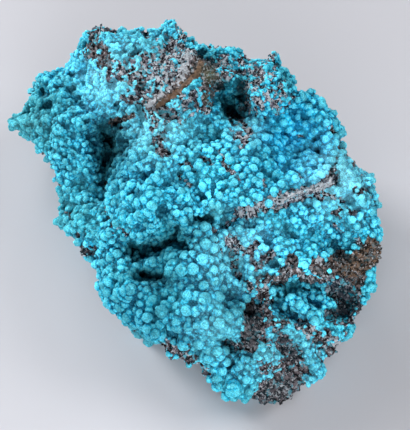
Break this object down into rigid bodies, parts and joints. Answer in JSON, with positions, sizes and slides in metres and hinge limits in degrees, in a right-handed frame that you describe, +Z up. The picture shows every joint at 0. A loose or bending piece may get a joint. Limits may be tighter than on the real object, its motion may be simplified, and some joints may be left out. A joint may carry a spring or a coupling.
{
  "type": "chrysocolla specimen",
  "caption": "Rough block of chrysocolla: a botryoidal blue-green crust over brown matrix rock, with a flat broken base to rest on.",
  "frame": {"origin": "on the table, under the middle of the block's bounding box", "axes": "+X along the block, from its tall end to its low end; +Y across it, to the steep back side; +Z up"},
  "size_m": [0.1599, 0.1068, 0.0801],
  "materials": {
    "crust": "matte"
  },
  "bodies": {
    "root": {"chrysocolla_specimen": "crust"}
  },
  "joints": []
}
